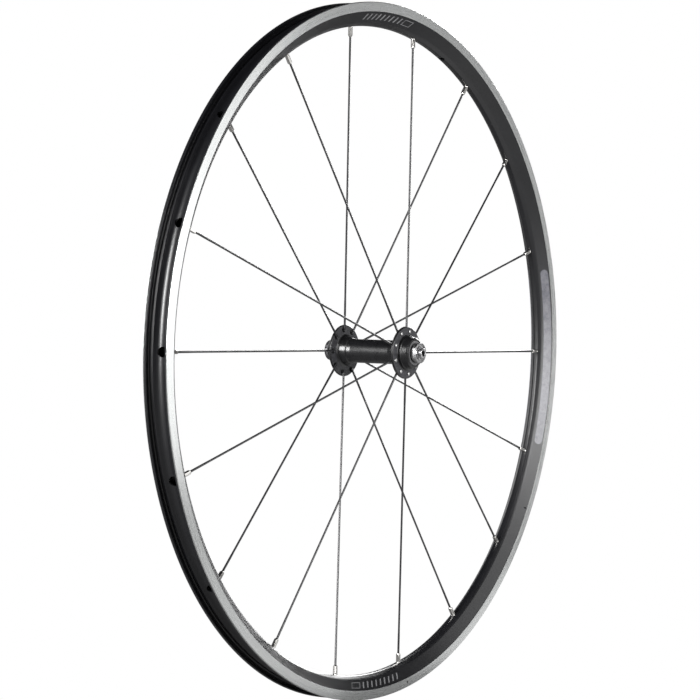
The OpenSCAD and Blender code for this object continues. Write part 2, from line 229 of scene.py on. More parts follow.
def addNode(tree, kind, inputs=None, **settings):
    made = tree.nodes.new(kind)
    for key, value in settings.items():
        setattr(made, key, value)
    for key, value in (inputs or {}).items():
        if isinstance(value, bpy.types.NodeSocket):
            tree.links.new(value, made.inputs[key])
        else:
            made.inputs[key].default_value = value
    return made


def ringOfCopiesTree(name, fromWire):
    # turns one part about the axle; fromWire first sweeps a tube along the part's own edges
    inputs = [("Count", "Int"), ("First Angle", "Float"), ("Step Angle", "Float"),
              ("Material", "Material")]
    tree, given, result = newTree(name, inputs + ([("Sides", "Int")] if fromWire else []))
    part = given.outputs["Geometry"]
    if fromWire:
        wire = addNode(tree, "GeometryNodeMeshToCurve", {"Mesh": part})
        girth = addNode(tree, "GeometryNodeInputNamedAttribute", {"Name": "girth"},
                        data_type="FLOAT")
        section = addNode(tree, "GeometryNodeCurvePrimitiveCircle",
                          {"Resolution": given.outputs["Sides"], "Radius": 1.0})
        tube = addNode(tree, "GeometryNodeCurveToMesh",
                       {"Curve": wire.outputs[0], "Profile Curve": section.outputs[0],
                        "Scale": girth.outputs["Attribute"], "Fill Caps": True})
        part = tube.outputs[0]
    places = addNode(tree, "GeometryNodeMeshLine",
                     {"Count": given.outputs["Count"], "Offset": (0, 0, 0)})
    index = addNode(tree, "GeometryNodeInputIndex")
    angle = addNode(tree, "ShaderNodeMath",
                    {0: index.outputs[0], 1: given.outputs["Step Angle"],
                     2: given.outputs["First Angle"]}, operation="MULTIPLY_ADD")
    turned = addNode(tree, "ShaderNodeMath", {0: angle.outputs[0], 1: -1.0}, operation="MULTIPLY")
    rotation = addNode(tree, "ShaderNodeCombineXYZ", {"Y": turned.outputs[0]})
    copies = addNode(tree, "GeometryNodeInstanceOnPoints",
                     {"Points": places.outputs[0], "Instance": part,
                      "Rotation": rotation.outputs[0]})
    whole = addNode(tree, "GeometryNodeRealizeInstances", {"Geometry": copies.outputs[0]})
    finished = addNode(tree, "GeometryNodeSetMaterial",
                       {"Geometry": whole.outputs[0], "Material": given.outputs["Material"]})
    tree.links.new(finished.outputs[0], result.inputs[0])
    return tree


ringOfCopies = ringOfCopiesTree("ringOfCopies", False)
ringOfWires = ringOfCopiesTree("ringOfWires", True)


def copiesRound(piece, first, step, count, material=None, tree=None, sides=None):
    values = {"Count": count, "First Angle": math.radians(first), "Step Angle": math.radians(step)}
    if material:
        values["Material"] = material
    if sides:
        values["Sides"] = sides
    settle(setInputs(piece, tree or ringOfCopies, values))
    if material:              # the plain mesh keeps just the one slot
        piece.data.materials.clear()
        piece.data.materials.append(material)
        piece.data.polygons.foreach_set("material_index", [0] * len(piece.data.polygons))
    return piece


# finishes

def principled(name, look):
    material = bpy.data.materials.new(name)
    material.use_nodes = True
    shader = material.node_tree.nodes["Principled BSDF"]
    shader.inputs["Base Color"].default_value = (*look["tone"], 1)
    shader.inputs["Metallic"].default_value = look["metallic"]
    shader.inputs["Roughness"].default_value = look["roughness"]
    for key, value in look.get("fixed", {}).items():
        shader.inputs[key].default_value = value
    material.diffuse_color = (*look["tone"], 1)
    return material, material.node_tree, shader


def coordinates(tree, kind):
    return addNode(tree, "ShaderNodeTexCoord").outputs[kind]


def noiseField(tree, coords, stretch, detail=3.0, roughness=0.6):
    mapped = addNode(tree, "ShaderNodeMapping", {"Vector": coords, "Scale": stretch})
    noise = addNode(tree, "ShaderNodeTexNoise", {"Vector": mapped.outputs[0], "Scale": 1.0,
                                                 "Detail": detail, "Roughness": roughness})
    return noise.outputs["Fac"]


def remap(tree, value, low, high, start=0.3, end=0.7):
    return addNode(tree, "ShaderNodeMapRange", {"Value": value, "From Min": start, "From Max": end,
                                                "To Min": low, "To Max": high}).outputs[0]


def combine(tree, a, b, operation="ADD"):
    return addNode(tree, "ShaderNodeMath", {0: a, 1: b}, operation=operation).outputs[0]


def mixTone(tree, share, first, second):
    made = addNode(tree, "ShaderNodeMix", data_type="RGBA")
    for key, value in ((0, share), (6, first), (7, second)):
        if isinstance(value, bpy.types.NodeSocket):
            tree.links.new(value, made.inputs[key])
        else:
            made.inputs[key].default_value = value if key == 0 else (*value, 1)
    return made.outputs[2]


wear = {"edge": 0.08, "gloss": 0.1}    # how softly worn spots start, and how much they dull


def surface(name, look):
    # the shared build of every finish: mottled tone, uneven gloss, fine relief and light wear
    material, tree, shader = principled(name, look)
    coords = coordinates(tree, look.get("coords", "Object"))
    mottle = noiseField(tree, coords, look["mottleScale"])
    tone = mixTone(tree, remap(tree, mottle, 0.0, 1.0), look["tone"], look["secondTone"])
    grain = noiseField(tree, coords, look["grainScale"], detail=2.0)
    gloss = combine(tree, remap(tree, grain, -look["glossSpread"], look["glossSpread"]),
                    remap(tree, mottle, look["roughness"] - look["glossSpread"] / 2,
                          look["roughness"] + look["glossSpread"] / 2))
    if "wearTone" in look:
        scuff = noiseField(tree, coords, look["wearScale"], detail=5.0, roughness=0.7)
        start = look["wearStart"]
        worn = remap(tree, scuff, 0.0, look["wearShare"], start, start + wear["edge"])
        tone = mixTone(tree, worn, tone, look["wearTone"])
        gloss = combine(tree, gloss, combine(tree, worn, wear["gloss"], "MULTIPLY"))
    tree.links.new(tone, shader.inputs["Base Color"])
    tree.links.new(gloss, shader.inputs["Roughness"])
    relief = grain
    if "lineScale" in look:
        lines = noiseField(tree, coords, look["lineScale"], detail=1.0)
        relief = combine(tree, combine(tree, lines, look["lineShare"], "MULTIPLY"), grain)
    bump = addNode(tree, "ShaderNodeBump", {"Height": relief, "Strength": 1.0,
                                            "Distance": look["relief"]})
    tree.links.new(bump.outputs[0], shader.inputs["Normal"])
    if look.get("turned"):
        tangent = addNode(tree, "ShaderNodeTangent", direction_type="UV_MAP", uv_map="UVMap")
        tree.links.new(tangent.outputs[0], shader.inputs["Tangent"])
    return material


finishes = {
    "rimAnodised": dict(
        tone=(0.0035, 0.0036, 0.0044), secondTone=(0.0062, 0.0063, 0.0076),
        metallic=0.0, roughness=0.32,
        coords="UV", mottleScale=(14, 40, 1), grainScale=(2600, 2600, 1), glossSpread=0.04,
        lineScale=(18, 5200, 1), lineShare=1.4, relief=0.000006,
        wearTone=(0.10, 0.10, 0.11), wearScale=(260, 900, 1), wearStart=0.68, wearShare=0.35,
        fixed={"Specular IOR Level": 0.5}),
    "rimMachined": dict(
        tone=(0.60, 0.615, 0.61), secondTone=(0.72, 0.73, 0.725),
        metallic=1.0, roughness=0.30,
        coords="UV", mottleScale=(9, 400, 1), grainScale=(60, 1500, 1), glossSpread=0.045,
        lineScale=(3, 3500, 1), lineShare=3.0, relief=0.000002, turned=True,
        wearTone=(0.42, 0.43, 0.43), wearScale=(30, 2600, 1), wearStart=0.60, wearShare=0.30,
        fixed={"Anisotropic": 0.8, "Anisotropic Rotation": 0.25}),
    "spokeBlack": dict(
        tone=(0.012, 0.012, 0.013), secondTone=(0.021, 0.021, 0.023),
        metallic=0.0, roughness=0.3,
        mottleScale=(60, 60, 60), grainScale=(2200, 2200, 2200), glossSpread=0.05,
        relief=0.000003,
        wearTone=(0.12, 0.12, 0.125), wearScale=(500, 500, 500), wearStart=0.70, wearShare=0.4,
        fixed={"Specular IOR Level": 0.6}),
    "spokeHeadBright": dict(
        tone=(0.42, 0.42, 0.42), secondTone=(0.55, 0.55, 0.54),
        metallic=1.0, roughness=0.32,
        mottleScale=(600, 600, 600), grainScale=(2800, 2800, 2800), glossSpread=0.07,
        relief=0.000004),
    "nippleNickel": dict(
        tone=(0.50, 0.49, 0.47), secondTone=(0.62, 0.61, 0.59),
        metallic=1.0, roughness=0.22,
        mottleScale=(350, 350, 350), grainScale=(2400, 2400, 2400), glossSpread=0.06,
        relief=0.000005,
        wearTone=(0.26, 0.23, 0.17), wearScale=(700, 700, 700), wearStart=0.60, wearShare=0.4),
    "hubAnodised": dict(
        tone=(0.004, 0.004, 0.0045), secondTone=(0.007, 0.007, 0.0078),
        metallic=0.0, roughness=0.29,
        coords="UV", mottleScale=(120, 160, 1), grainScale=(3200, 3200, 1), glossSpread=0.05,
        lineScale=(25, 9000, 1), lineShare=1.6, relief=0.000005, turned=True,
        wearTone=(0.09, 0.09, 0.095), wearScale=(900, 1600, 1), wearStart=0.69, wearShare=0.3,
        fixed={"Specular IOR Level": 0.5, "Anisotropic": 0.35, "Anisotropic Rotation": 0.25}),
    "hubFlangeFace": dict(
        tone=(0.024, 0.024, 0.027), secondTone=(0.055, 0.055, 0.060),
        metallic=0.0, roughness=0.46,
        mottleScale=(420, 420, 420), grainScale=(2600, 2600, 2600), glossSpread=0.07,
        relief=0.000012,
        wearTone=(0.15, 0.15, 0.155), wearScale=(1100, 1100, 1100), wearStart=0.62, wearShare=0.35,
        fixed={"Specular IOR Level": 0.3}),
    "bearingSteel": dict(
        tone=(0.56, 0.57, 0.59), secondTone=(0.66, 0.67, 0.69),
        metallic=1.0, roughness=0.16,
        mottleScale=(200, 200, 200), grainScale=(3000, 1200, 3000), glossSpread=0.05,
        relief=0.000002),
    "sealRubber": dict(
        tone=(0.018, 0.018, 0.019), secondTone=(0.032, 0.032, 0.033),
        metallic=0.0, roughness=0.62,
        mottleScale=(300, 300, 300), grainScale=(2600, 2600, 2600), glossSpread=0.08,
        relief=0.000015,
        wearTone=(0.09, 0.085, 0.08), wearScale=(650, 650, 650), wearStart=0.58, wearShare=0.3,
        fixed={"Specular IOR Level": 0.4}),
    "dustCover": dict(
        tone=(0.16, 0.16, 0.165), secondTone=(0.23, 0.23, 0.235),
        metallic=0.3, roughness=0.45,
        coords="UV", mottleScale=(200, 300, 1), grainScale=(2600, 2600, 1), glossSpread=0.08,
        lineScale=(40, 7000, 1), lineShare=1.2, relief=0.00001),
    "cageNylon": dict(
        tone=(0.30, 0.17, 0.055), secondTone=(0.38, 0.22, 0.08),
        metallic=0.0, roughness=0.5,
        mottleScale=(260, 260, 260), grainScale=(2000, 2000, 2000), glossSpread=0.07,
        relief=0.00001),
    "axleAlloy": dict(
        tone=(0.48, 0.48, 0.49), secondTone=(0.60, 0.60, 0.61),
        metallic=1.0, roughness=0.26,
        coords="UV", mottleScale=(120, 250, 1), grainScale=(900, 2400, 1), glossSpread=0.05,
        lineScale=(30, 8000, 1), lineShare=2.0, relief=0.000004, turned=True,
        fixed={"Anisotropic": 0.4, "Anisotropic Rotation": 0.25}),
    "lockSteel": dict(
        tone=(0.36, 0.36, 0.37), secondTone=(0.47, 0.47, 0.47),
        metallic=1.0, roughness=0.30,
        mottleScale=(260, 260, 260), grainScale=(2600, 2600, 2600), glossSpread=0.06,
        relief=0.000005,
        wearTone=(0.26, 0.26, 0.27), wearScale=(700, 700, 700), wearStart=0.60, wearShare=0.35),
    # the same steel as lockSteel, painted darker: painted shade on the far, right side's locknut and
    # cone
    "lockSteelPaintedShade": dict(
        tone=(0.055, 0.055, 0.060), secondTone=(0.085, 0.085, 0.090),
        metallic=0.7, roughness=0.36,
        mottleScale=(260, 260, 260), grainScale=(2600, 2600, 2600), glossSpread=0.06,
        relief=0.000005,
        wearTone=(0.20, 0.20, 0.205), wearScale=(700, 700, 700), wearStart=0.64, wearShare=0.35),
    "graphicGrey": dict(
        tone=(0.15, 0.15, 0.155), secondTone=(0.20, 0.20, 0.205),
        metallic=0.0, roughness=0.36,
        mottleScale=(160, 160, 160), grainScale=(2400, 2400, 2400), glossSpread=0.05,
        relief=0.000003),
    # a lighter lilac grey that paints the sidewalls' reflection in bands
    "paintedSidewallReflection": dict(
        tone=(0.075, 0.075, 0.088), secondTone=(0.115, 0.115, 0.13),
        metallic=0.0, roughness=0.28,
        mottleScale=(160, 160, 160), grainScale=(1600, 1600, 1600), glossSpread=0.05,
        relief=0.000003,
        fixed={"Specular IOR Level": 0.6}),
}
material = {name: surface(name, look) for name, look in finishes.items()}
print("finishes made:", len(material))


def dress(piece, *names):
    if len(piece.data.materials):        # clearing also resets each face's slot
        piece.data.materials.clear()
    for name in names:
        piece.data.materials.append(material[name])
    return piece


# rim

ro, hw = rimOuterR, rimHalfWidth
rim = {
    "turns": 468,
    # half of the outline, from the tyre well outwards: depth below the edge, half width, fillet
    "profile": (
        (9.6, 0.7, 3.0), (9.4, 2.2, 3.0), (8.75, 3.7, 3.0), (7.7, 5.0, 3.0), (6.4, 6.208, 0.6),
        (5.6, 6.984, 0.32), (6.12, 7.7, 0.35), (5.8, 10.2, 0.5), (5, 11.0, 0.7), (2.6, 11.0, 0.5),
        (1.8, 9.9, 0.35), (0.6, 9.7, 0.35), (0, 10.4, 0.35), (0, 12.1, 0.2), (0.5, hw, 0.2),
        (8.6, hw, 0.04), (8.95, hw - 0.35, 0.2), (18, 5.8, 1.2), (19, 4.8, 0.9), (20.8, 2.6, 0.9),
        (21.2, 1.4, 1.2)),
    "chamber": (
        (10.8, 3.986, 0), (7.6, 7.208, 0), (7.6, 9.4, 0.3), (8.4, 11.0, 0.3), (9.6, 10.7, 0.3),
        (17.6, 4.48, 0.4), (19.2, 2.6, 0.5)),
    "wallTop": (8.95, hw - 0.35), "wallFoot": (18, 5.8),      # the tapered side's two ends
    "trackR": ro - 8.7, "rolledEdgeR": ro - 0.55, "rolledEdgeY": 11.4,    # where bare metal starts
    # diameter, inner radius, outer radius
    "accessHole": (8.6, ro - 12, ro - 2.6),
    "nippleHole": (4.35, lacing["bedR"] - 5, lacing["bedR"] + 3),
    "valveHole": (6.5, ro - 22.2, ro + 1),
    # diameter, radius, depth
    "drainHole": (1.8, ro - 10.3, hw - 3),
    "wearMark": (2.0, ro - 5, 0.9),
    "valveStep": 3.5, "drainStep": -1.55, "wearStep": -4.05,  # spoke spaces from the first spoke
}


def rimHalf(rows):
    return mirroredHalf([(ro - depth, y, fillet) for depth, y, fillet in rows])


rimOutline = roundCorners(rimHalf(rim["profile"]))
rimHollow = roundCorners(rimHalf(rim["chamber"]), steps=1, support=9)


def rimFinishOf(r, y):
    # bare metal on the brake tracks and over the rolled edge
    onTrack = abs(y) > hw - 0.02 and r > rim["trackR"]
    onEdge = abs(y) > rim["rolledEdgeY"] and r > rim["rolledEdgeR"]
    return 1 if onTrack or onEdge else 0


rimPiece = revolve("rimExtrusion", [rimOutline, rimHollow], rim["turns"], rimFinishOf)


def drill(name, diameter, low, high, side=0, sides=40):
    # a round cutter along +X; side leans it along the spoke
    tool = loft(name, [(low, diameter / 2, 2), (high, diameter / 2, 2)], sides)
    if side:
        bed = lacing["bedR"] * mm
        for v in tool.data.vertices:
            x, y = v.co.x - bed, v.co.y
            v.co.x = bed + x * math.cos(lean) - y * math.sin(-lean * side)
            v.co.y = x * math.sin(-lean * side) + y * math.cos(lean)
    return tool


# the spoke's straight part leans from the flange to the rim's middle
elbow = Vector((lacing["pitchR"] + lacing["elbowR"],
                lacing["flangeInY"] + lacing["elbowR"] - lacing["elbowDrop"]))
reach = Vector((lacing["bedR"] - elbow.x, elbow.y))
lean = math.atan2(reach.y, reach.x) - math.asin(lacing["elbowR"] / reach.length)
straightLength = math.sqrt(reach.length_squared - lacing["elbowR"] ** 2)


def firstOf(side):
    # each side's first spoke; the right side's come one space later
    return lacing["firstAngle"] + (spokeStep if side > 0 else 0)


def stepAngle(steps):
    return lacing["firstAngle"] + steps * spokeStep


drills = [copiesRound(drill("accessHoles", *rim["accessHole"]),
                      lacing["firstAngle"], spokeStep, lacing["count"])]
for side, tag in hands:
    tool = drill(tag + "NippleHoles", *rim["nippleHole"], side=side)
    drills.append(copiesRound(tool, firstOf(side), 2 * spokeStep, lacing["count"] // 2))
drills.append(copiesRound(drill("valveHole", *rim["valveHole"]), stepAngle(rim["valveStep"]), 0, 1))


def sideDrill(name, diameter, r, depth, angle):
    # a round cutter through the left side, standing out 1 mm
    tool = drill(name, diameter, 0, depth + 1, sides=32)
    for v in tool.data.vertices:
        v.co = Vector((r * mm + v.co.z, -(hw + 1) * mm + v.co.x, v.co.y))
    return copiesRound(tool, angle, 0, 1)


drills.append(sideDrill("drainHole", *rim["drainHole"], stepAngle(rim["drainStep"])))
drills.append(sideDrill("wearMark", *rim["wearMark"], stepAngle(rim["wearStep"])))
dress(rimPiece, "rimAnodised", "rimMachined")
cutAway(rimPiece, drills)
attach(rimPiece, "wheel")
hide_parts("rim")
print("rim turned and drilled:", len(rimPiece.data.polygons), "faces")


# rim graphics: plain marks in place of lettering, and bands of painted reflection on the sidewalls

graphics = {
    "lift": 0.03,            # stands this far off the sidewall
    "sink": 0.05,
    "blockLow": 0.20, "blockHigh": 0.74,      # shares of the sidewall, from the track inwards
    "hatchCount": 9, "hatchWidth": 0.38, "hatchSlant": 0.75,    # degrees
    "hatchGap": 1.0, "hatchSpare": 1.4,
    "frameSpan": 2.4, "frameLine": 0.16, "frameEdge": 0.05,
    "blocks": ((80.9, 96.6), (-100.0, -84.4)),    # the angles that each block spans
    # the bands are painted reflection, a lighter lilac grey where the sidewalls catch light
    "bands": ((-20.5, 13.5), (159.5, 193.5)),
    "bandLow": 0.10, "bandHigh": 0.86,
    "bandColumns": 90, "bandTip": 0.004, "bandR": ro - 13,
}
wallTop, wallFoot = (Vector((ro - depth, y)) for depth, y in (rim["wallTop"], rim["wallFoot"]))


def onSidewall(angle, share, side, lift):
    # a point on the tapered side, lifted along its normal
    along = wallFoot - wallTop
    normal = Vector((along.y, -along.x)).normalized()
    p = wallTop + along * share + normal * lift
    a = math.radians(angle)
    return (p.x * mm * math.cos(a), side * p.y * mm, p.x * mm * math.sin(a))


def sidewallMarks(name, outlines, side, finish):
    # each outline is rows of (angle, lowShare, highShare), a strip along the rim
    verts, faces = [], []
    for rows in outlines:
        base = len(verts)
        for (a0, low), (a1, high) in rows:
            for lift in (graphics["lift"], -graphics["sink"]):
                verts += [onSidewall(a0, low, side, lift), onSidewall(a1, high, side, lift)]
        for i in range(len(rows) - 1):
            a, b = base + i * 4, base + i * 4 + 4
            faces += [(a, a + 1, b + 1, b), (a + 3, a + 2, b + 2, b + 3),
                      (a + 2, a, b, b + 2), (a + 1, a + 3, b + 3, b + 1)]
        last = base + (len(rows) - 1) * 4
        faces += [(base, base + 2, base + 3, base + 1), (last + 2, last, last + 1, last + 3)]
    mesh = bpy.data.meshes.new(name)
    mesh.from_pydata(verts, [], [f if side > 0 else f[::-1] for f in faces])
    piece = dress(linked(name, mesh), finish)
    settle(piece, sharp=40)
    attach(piece, "wheel")
    return piece


def slantedBar(angle, width, low, high, slant):
    # a bar across the sidewall from one share to the other
    rise = slant / (graphics["blockHigh"] - graphics["blockLow"])
    bar = []
    for d in (0, width):
        ends = [(angle + rise * (share - graphics["blockLow"]) + d, share) for share in (low, high)]
        bar.append(tuple(ends))
    return bar


def hatchBlock(start, end):
    # slanted hatch marks, then one open parallelogram
    g = graphics
    low, high, slant = g["blockLow"], g["blockHigh"], g["hatchSlant"]
    span, line, edge = g["frameSpan"], g["frameLine"], g["frameEdge"]
    pitch = (end - start - span - g["hatchSpare"]) / g["hatchCount"]
    bars = [slantedBar(start + span + g["hatchGap"] + i * pitch, g["hatchWidth"], low, high, slant)
            for i in range(g["hatchCount"])]
    bars += [slantedBar(at, line, low, high, slant) for at in (start, start + span)]
    bars += [slantedBar(start, span + line, share, share + edge, slant)
             for share in (low, high - edge)]
    return bars


def roundedBand(start, end):
    # a long strip whose ends are half round, carrying a painted reflection
    g = graphics
    low, high, columns = g["bandLow"], g["bandHigh"], g["bandColumns"]
    rows = []
    width = (high - low) * (wallTop - wallFoot).length
    roundSpan = math.degrees(width / 2 / g["bandR"])
    middle = (low + high) / 2
    for i in range(columns + 1):
        a = start + (end - start) * (0.5 - 0.5 * math.cos(math.pi * i / columns))
        edge = min(a - start, end - a) / roundSpan
        half = (high - low) / 2 * math.sqrt(max(0.0, 1 - (1 - min(edge, 1)) ** 2))
        half = max(half, g["bandTip"])
        rows.append(((a, middle - half), (a, middle + half)))
    return rows


for side, tag in hands:
    blocks = [bar for start, end in graphics["blocks"] for bar in hatchBlock(start, end)]
    sidewallMarks(tag + "RimHatchMarks", blocks, side, "graphicGrey")
    # bands of painted reflection, lighter lilac grey, at either end of the rim's horizontal
    bands = [roundedBand(start, end) for start, end in graphics["bands"]]
    sidewallMarks(tag + "RimPaintedReflectionBand", bands, side, "paintedSidewallReflection")
print("rim graphics laid")


# spokes

spoke = {
    "endR": 1.0, "midR": 0.9,
    "rootLength": 22, "tipLength": 27, "taper": 9, "taperSteps": 6,
    "rootStop": 8, "tipStop": 12,      # points that hold the two thick ends straight
    "headR": 1.85, "headHeight": 1.1,
    # the head's outline, from its top: shares of its height and of its radius
    "head": ((1.0, 0.28), (0.985, 0.5), (0.9, 0.72), (0.72, 0.88), (0.45, 0.97), (0.2, 1.0),
             (0.06, 0.97), (0.02, 0.9)),
    "past": 1.8,             # how far the thread runs past the rim's inner wall
    "sides": 20, "elbowSteps": 10,
}


def spokeWire(name, side):
    # the centre line from the head, round the elbow, to the thread's end, with its own radii
    s, path = spoke, []
    for height, share in s["head"]:
        y = lacing["flangeOutY"] + s["headHeight"] * height
        path.append(((lacing["pitchR"], y), s["headR"] * share))
    path.append(((lacing["pitchR"], lacing["flangeOutY"]), s["endR"]))
    for k in range(s["elbowSteps"] + 1):
        a = math.pi + (math.pi / 2 - lean) * k / s["elbowSteps"]
        point = elbow + Vector((math.cos(a), math.sin(a))) * lacing["elbowR"]
        path.append((tuple(point), s["endR"]))
    start = elbow + Vector((-math.sin(lean), -math.cos(lean))) * lacing["elbowR"]
    heading = Vector((math.cos(lean), -math.sin(lean)))
    stops = []
    for k in range(s["taperSteps"] + 1):
        share = k / s["taperSteps"]
        ease = 0.5 - 0.5 * math.cos(math.pi * share)
        radius = s["endR"] + (s["midR"] - s["endR"]) * ease
        stops += [(s["rootLength"] + s["taper"] * share, radius),
                  (straightLength - s["tipLength"] - s["taper"] * share, radius)]
    stops += [(s["rootStop"], s["endR"]), (straightLength - s["tipStop"], s["endR"]),
              (straightLength + s["past"], s["endR"])]
    path += [(tuple(start + heading * x), r) for x, r in sorted(stops)]
    mesh = bpy.data.meshes.new(name)
    mesh.from_pydata([(x * mm, side * y * mm, 0) for (x, y), _ in path],
                     [(i, i + 1) for i in range(len(path) - 1)], [])
    girth = mesh.attributes.new("girth", "FLOAT", "POINT")
    girth.data.foreach_set("value", [r * mm for _, r in path])
    return linked(name, mesh)


for side, tag in hands:
    own = spokeNodes[0::2] if side < 0 else spokeNodes[1::2]
    wires = spokeWire(tag + "Spokes", side)
    copiesRound(wires, firstOf(side), 2 * spokeStep, len(own), material["spokeBlack"],
                ringOfWires, spoke["sides"])
    wires.data.materials.append(material["spokeHeadBright"])
    headFrom = (lacing["flangeOutY"] + 0.05) * mm
    for face in wires.data.polygons:
        if side * face.center.y > headFrom:
            face.material_index = 1
    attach(wires, "wheel")
    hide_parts(*own)
print("spokes laced")


# nipples

nipple = {
    "shankR": 1.975, "squareHalf": 1.625, "squareLength": 9, "headR": 3.1, "headHeight": 1.8,
    "bedWall": 2.0, "shankShow": 0.4, "seat": 0.45, "boreR": 1.02, "sides": 32,
    "slotWidth": 1.2, "slotDepth": 0.8,
}


def nippleAt(name, side):
    n = nipple
    half, shank, head, bore = n["squareHalf"], n["shankR"], n["headR"], n["boreR"]
    tip = -n["bedWall"] - n["squareLength"]
    shoulder = n["seat"] + head - shank
    top = shoulder + n["headHeight"]
    under = -n["bedWall"] - n["shankShow"]
    sections = [
        # the pressed tip and the square
        (tip, 1.2, 2), (tip + 0.12, 1.36, 2), (tip + 0.5, 1.5, 2.3), (tip + 0.9, half - 0.02, 4),
        (tip + 1.2, half, 7), (tip + 1.4, half, 11), (under - 0.35, half, 11),
        (under - 0.15, half + 0.03, 6), (under, 1.78, 3), (under + 0.12, 1.93, 2.1),
        # the round shank and the head
        (under + 0.2, shank, 2), (n["seat"], shank, 2), (n["seat"] + 0.1, shank + 0.06, 2),
        (shoulder - 0.08, head - 0.1, 2), (shoulder + 0.12, head, 2), (top - 0.7, head, 2),
        (top - 0.3, head - 0.12, 2), (top - 0.06, head - 0.45, 2), (top, head - 0.8, 2),
        # back down the bore
        (top, 1.3, 2), (top - 0.2, bore, 2), (tip + 0.25, bore, 2), (tip, bore + 0.05, 2)]
    piece = loft(name, sections, n["sides"], closed=True)
    slot = loft("slot", [(top - n["slotDepth"], 0.5, 2), (top + 1, 0.5, 2)], 4)
    for v in slot.data.vertices:
        v.co.y = math.copysign(n["headR"] + 1, v.co.y) * mm
        v.co.z = math.copysign(n["slotWidth"] / 2, v.co.z) * mm
    cutAway(piece, [slot])
    for v in piece.data.vertices:
        x, y = v.co.x, v.co.y
        v.co.x = lacing["bedR"] * mm + x * math.cos(lean) + y * math.sin(lean)
        v.co.y = side * (-x * math.sin(lean) + y * math.cos(lean))
    if side < 0:
        piece.data.flip_normals()
    return piece


for side, tag in hands:
    piece = nippleAt(tag + "Nipples", side)
    copiesRound(piece, firstOf(side), 2 * spokeStep, lacing["count"] // 2, material["nippleNickel"])
    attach(piece, "wheel")
    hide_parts(tag + "_nipples")
print("nipples set")


# hub shell

fo, fi = lacing["flangeOutY"], lacing["flangeInY"]
hub = {
    "turns": 216,
    "flangeR": 23.8, "barrelR": 15.8, "bearingR": 11.01, "boreR": 8.8, "bearingInY": 37.5,
    # outline of the tube, from its middle, and of the nose: radius, half width, fillet
    "tube": ((10.9, 20.8, 3.0), (11.5, 24.4, 0.25), (11.1, 24.8, 0.12), (12.0, 25.2, 0.5),
             (13.4, 30.9, 0.35), (13.1, 31.3, 0.12), (13.6, 31.7, 0.25), (14.3, 32.4, 0.5)),
    "nose": ((15.3, 38.2, 0.2), (14.58, 40.3, 2.0), (13.69, 43.0, 1.0), (12.6, mouthY, 0.3)),
    "blastedR": 15.2,        # the flanges' faces are blasted outside this radius
    "holeR": 1.25, "countersink": 1.6, "holeEdge": 0.45, "holeSides": 28,
}
h = hub
hubOutline = roundCorners(mirroredHalf([
    *h["tube"], (15.0, fi, 0.5), (h["flangeR"] - 0.6, fi, 0.3),
    (h["flangeR"], fi + 0.6, 0.35), (h["flangeR"], fo - 0.8, 0.35), (h["flangeR"] - 0.8, fo, 0.35),
    (h["barrelR"] + 0.5, fo, 0.35), (h["barrelR"], fo + 0.5, 0.4), (h["barrelR"], 37.9, 0.25),
    *h["nose"], (h["bearingR"], mouthY, 0.15), (h["bearingR"], h["bearingInY"], 0.1),
    (h["boreR"], h["bearingInY"], 0.3)]))


def hubFinishOf(r, y):
    # the flanges' flat faces are blasted, the rest is turned
    flat = min(abs(abs(y) - fo), abs(abs(y) - fi)) < 0.01
    return 1 if flat and r > hub["blastedR"] else 0


hubPiece = revolve("hubShell", [hubOutline], hub["turns"], hubFinishOf)
holes = []
for side, tag in hands:
    small, wide = hub["holeR"], hub["holeR"] + hub["countersink"]
    tool = loft(tag + "SpokeHoles", [
        (fi - 1, wide, 2), (fi - 0.2, wide, 2), (fi + 1.3, small, 2), (fo - 0.25, small, 2),
        (fo + 0.2, small + hub["holeEdge"], 2)], hub["holeSides"], flip=side < 0)
    for v in tool.data.vertices:
        v.co = Vector((lacing["pitchR"] * mm + v.co.z, side * v.co.x, v.co.y))
    holes.append(copiesRound(tool, firstOf(side), 2 * spokeStep, lacing["count"] // 2))
dress(hubPiece, "hubAnodised", "hubFlangeFace")
cutAway(hubPiece, holes)
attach(hubPiece, "wheel")
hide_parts("hub_shell")
print("hub shell turned:", len(hubPiece.data.polygons), "faces")


# dust covers, cones, locknuts and the axle

def atEnd(outline, side):
    # a right end's outline, turned to the left where side is -1
    return [Vector((p.x, side * p.y)) for p in outline]


dustCover = {
    "outerR": 11.0, "innerR": 8.55, "inY": mouthY - 0.65, "outY": mouthY - 0.1, "turns": 144,
    "ribs": 4, "grooveDepth": 0.22,
    "ribEnd": 0.55, "grooveStart": 0.6, "grooveEnd": 0.95,    # shares of the ribs' spacing
}


def dustOutline():
    # a flat ring with raised concentric ribs on its outer face
    d = dustCover
    step = (d["outerR"] - d["innerR"]) / d["ribs"]
    outY, deepY, fillet = d["outY"], d["outY"] - d["grooveDepth"], 0.06
    points = [(d["outerR"], d["inY"], 0.05)]
    for i in range(d["ribs"]):
        r = d["outerR"] - i * step
        points += [(r, outY, fillet), (r - step * d["ribEnd"], outY, fillet),
                   (r - step * d["grooveStart"], deepY, fillet),
                   (r - step * d["grooveEnd"], deepY, fillet)]
    return roundCorners(points + [(d["innerR"], deepY, 0.03), (d["innerR"], d["inY"], 0.05)])


locknut = {
    "outerR": 9.2, "innerY": lockFaceY - 3.6, "faceY": lockFaceY, "lip": 0.9, "boreR": 4.92,
    "grooveInnerR": 6.3, "grooveOuterR": 8.3, "grooveDepth": 1.2, "flats": 15.8,
    "teeth": 24, "toothDepth": 0.4, "toothHalfWidth": 0.62, "turns": 144,
}
cone = {
    "outerR": 8.2, "landR": 6.6, "boreR": 4.92, "innerY": 43.5, "shoulderY": 44.55, "flats": 14.0,
    "flatsFromY": 45.15, "turns": 144,
}


